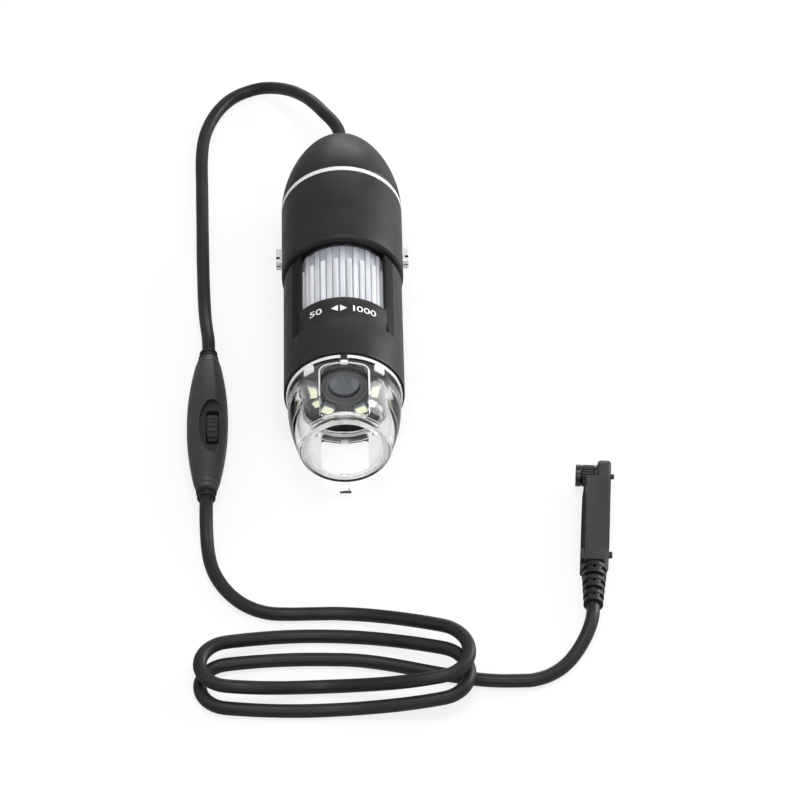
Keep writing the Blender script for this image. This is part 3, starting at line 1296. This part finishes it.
# %% Join the lug to the plug's box
plug_x, plug_y, plug_turn = 62.9, -103.3, math.radians(-4.0)
plug_wide, plug_face_x, cover_x, lug_x = 8.4, 3.7, -2.7, 0.1
plug_from, plug_to, screw_y, plug_mid = 13.7, 42.3, 45.9, 4.2


def on_plug(x, y, z):
    """A point on the plug: across towards the contact face, along from the boot's end, and up."""
    c, s = math.cos(plug_turn), math.sin(plug_turn)
    return Vector((plug_x + x * c - y * s, plug_y + x * s + y * c, z)) * MM


def plug_side(y, z, x):
    """The same point, for outlines that are drawn on the plug's contact face."""
    return on_plug(x, y, z)


def join(piece, *others):
    """Adds solids to a piece, without faces left inside."""
    return combine(piece, "UNION", others, "INDEX")


shell_outline = [
    (cover_x + 0.08, plug_from), (plug_face_x - 1.2, plug_from), (plug_face_x, plug_from + 2.6),
    (plug_face_x, plug_to), (cover_x + 0.08, plug_to)]
plug_shell = to_object("plug_body", prism(shell_outline, 0.0, plug_wide, on_plug), plug_black)
lug_root = plug_to - 1.0
lug_arc = [(screw_y + plug_mid * math.sin(t), plug_mid - plug_mid * math.cos(t))
           for t in (math.pi * k / 28 for k in range(29))]
lug_outline = [(lug_root, 0.0), *lug_arc, (lug_root, plug_wide)]
lug_piece = to_object("lug", prism(lug_outline, lug_x, plug_face_x - 0.001, plug_side), plug_black)
join(plug_shell, round_edges(lug_piece, 0.9, 4))
print("plug box and lug:", len(plug_shell.data.polygons), "faces")

# %% Carve the shell and close it with the cover
contact_from, contact_to, contact_half, contact_gap = 22.7, 36.7, 2.3, 0.05
room_half = contact_half + contact_gap
hole_r = 1.1


def plug_cutter(name, outline, low, high):
    """A prism across the plug, to be carved out."""
    return to_object(name, prism(outline, low, high, plug_side), plug_black)


def end_slope(name):
    """A wedge that slopes the plug's end towards the boot."""
    return plug_cutter(name, [(plug_from - 1.0, plug_wide - 2.2), (plug_from + 2.6, plug_wide + 0.3),
                              (plug_from - 1.0, plug_wide + 0.3)], -5.0, 5.0)


hole_outline = [(screw_y + hole_r * math.cos(t), plug_mid + hole_r * math.sin(t))
                for t in (2 * math.pi * k / 40 for k in range(40))]
room_outline = rectangle(contact_from - contact_gap, contact_to + contact_gap, plug_mid - room_half,
                         plug_mid + room_half)
carve(plug_shell, plug_cutter("screw_hole", hole_outline, -1.0, 5.0),
      plug_cutter("contact_room", room_outline, 1.0, 5.0), end_slope("shell_slope"))
round_edges(plug_shell, 0.35, 3, 40)
seat(plug_shell, "casing", "plug_black", "plug_shell", flat_over=2.0)

cover_outline = [
    (-plug_face_x + 0.3, plug_from), (cover_x, plug_from), (cover_x, plug_to), (-plug_face_x + 0.7, plug_to),
    (-plug_face_x, plug_to - 8.0), (-plug_face_x, plug_from + 0.5)]
plug_cover = to_object("plug_side_cover", prism(cover_outline, 0.0, plug_wide, on_plug), cover_black)
carve(plug_cover, end_slope("cover_slope"))
round_edges(plug_cover, 0.3, 3, 30)
seat(plug_cover, "casing", "plug_black", "plug_cover", flat_over=2.0)

# %% [markdown]
# ### Boot, peg and screw
# A plug's boot bends because it is slit from alternate sides: wide slits above and below in one row, and at
# the sides in the next. The cell tube that made the sleeve makes it too, as slits are just cells of smaller
# radius. The screw is turned, and its knurl is one more ring of bars.

# %% Slit the boot
boot_core, boot_slit_r, boot_plain_r, boot_tip_r, boot_flare = 1.8, 1.9, 2.1, 2.5, 0.9
boot_rows, boot_ring_share, boot_plain_long = 6, 0.56, 2.4
top_slit_half, side_slit_from, narrow_slit_half = 52.0, 38.0, 10.0
boot_pitch = plug_from / boot_rows
boot_stations = []
for row in range(boot_rows):
    boot_stations += [row * boot_pitch, (row + boot_ring_share) * boot_pitch]
boot_stations += [plug_from, plug_from + boot_plain_long]
boot_turns = [-180 + 7.5 * i for i in range(48)]


def boot_cell(turn, station):
    """The boot's radius: full on a ring, small in a slit, and the plain core inside the plug."""
    if station > plug_from:
        return boot_plain_r
    row = int(station / boot_pitch)
    full = boot_tip_r + boot_flare * station / plug_from
    if station / boot_pitch - row < boot_ring_share:
        return full
    off_top = abs((turn + 180.0) % 360.0 - 180.0)
    fold = min(off_top, 180.0 - off_top)
    slit = fold < top_slit_half if row % 2 else (fold > side_slit_from or fold < narrow_slit_half)
    return boot_slit_r if slit else full - 0.12


def on_boot(r, turn, along):
    """A point round the boot's axis."""
    t = math.radians(turn)
    return on_plug(r * math.sin(t), along, plug_mid + r * math.cos(t))


boot = to_object(
    "slit_boot", cell_tube(boot_turns, boot_stations, boot_core, boot_cell, on_boot), jacket_black)
boot.data.materials.append(inner_black)
round_edges(boot, 0.14, 2, 40)
seat(boot, "casing", "cord_black", "plug_boot")

# %% Turn the peg and the thumbscrew
peg_y, peg_r, peg_from, peg_to = 17.7, 0.9, 2.5, 4.6
head_from, head_smooth, head_to, head_r = -5.6, -4.1, -0.45, 2.9


def on_rod(y):
    """A place function for turning about an axis across the plug, at a distance along it."""
    def place(r, turn, x):
        t = math.radians(turn)
        return on_plug(x, y + r * math.sin(t), plug_mid + r * math.cos(t))
    return place


peg_outline = softened(rectangle(0.0, peg_r, peg_from, peg_to), 0.25)
peg = lathe("locating_peg", peg_outline, plug_black, on_rod(peg_y), 32)
seat(peg, "casing", "plug_black", "plug_peg")
screw_outline = softened([
    (0.0, head_from + 0.3), (1.4, head_from + 0.3), (1.6, head_from), (head_r, head_from),
    (head_r, head_smooth), (head_r - 0.4, head_smooth + 0.15), (head_r - 0.4, head_to), (1.0, head_to),
    (1.0, 3.7), (0.7, 3.9), (0.7, 4.6), (0.0, 4.6)], 0.25)
screw = lathe("thumbscrew", screw_outline, screw_black, on_rod(screw_y), 72)
seat(screw, "plug_screw", "screw_black", "plug_thumbscrew")
washer_outline = softened(rectangle(1.15, 3.0, -0.42, 0.08), 0.08)
screw_collar = lathe("screw_collar", washer_outline, screw_black, on_rod(screw_y), 48)
seat(screw_collar, "casing", "steel", "plug_screw_washer")

# %% Knurl the screw's head
c, s = math.cos(plug_turn), math.sin(plug_turn)
screw_middle = on_plug(0.0, screw_y, plug_mid)
screw_axis = Matrix((
    (0, -s, c, screw_middle.x), (0, c, s, screw_middle.y), (-1, 0, 0, screw_middle.z), (0, 0, 0, 1)))
knurl = bar("knurl_bar", 0.6, 0.5, head_to - head_smooth - 0.35, 0.18, screw_black)
knurls = ring_of("thumbscrew_knurl", knurl, 24, head_r - 0.3,
                 shifted(screw_axis, (head_smooth + head_to) / 2 + 0.05), screw_black)
seat(knurls, "plug_screw", "screw_black")

# %% [markdown]
# ## What stays inside
# Boards, chips, wires, the core and the lens carrier are CAD solids that a viewer meets only when the nose
# is off or the part is opened. They keep their CAD shape and get a finish of their own.

# %% Finish the CAD pieces that stay
inside = {
    inner_black: ("core_tube", "rear_plate", "lens_carrier"),
    lens_grey: ("lens_retainer",),
    steel: ("wheel_washer", "cam_pin", "board_screws"),
    lens_glass: ("rear_lens", "infrared_filter"),
    board_grey: ("led_board",),
    ribbon_grey: ("led_ribbon",),
    board_green: ("sensor_board", "main_board", "dimmer_board", "plug_board"),
    chip_black: ("image_sensor", "main_chips", "key_switches", "dimmer_potentiometer", "dimmer_shaft"),
    header_nylon: ("cable_header",),
    wire_red: ("cable_leads", "dimmer_leads"),
    clamp_grey: ("cord_clamp",),
    jacket_black: ("cord_stub",),
    cover_black: ("plug_contact_block",),
    contact_gold: ("plug_pins",),
}
for material, names in inside.items():
    for name in names:
        mesh = nodes[name].data
        mesh.materials.clear()
        mesh.materials.append(material)
print("CAD pieces finished:", sum(len(names) for names in inside.values()))
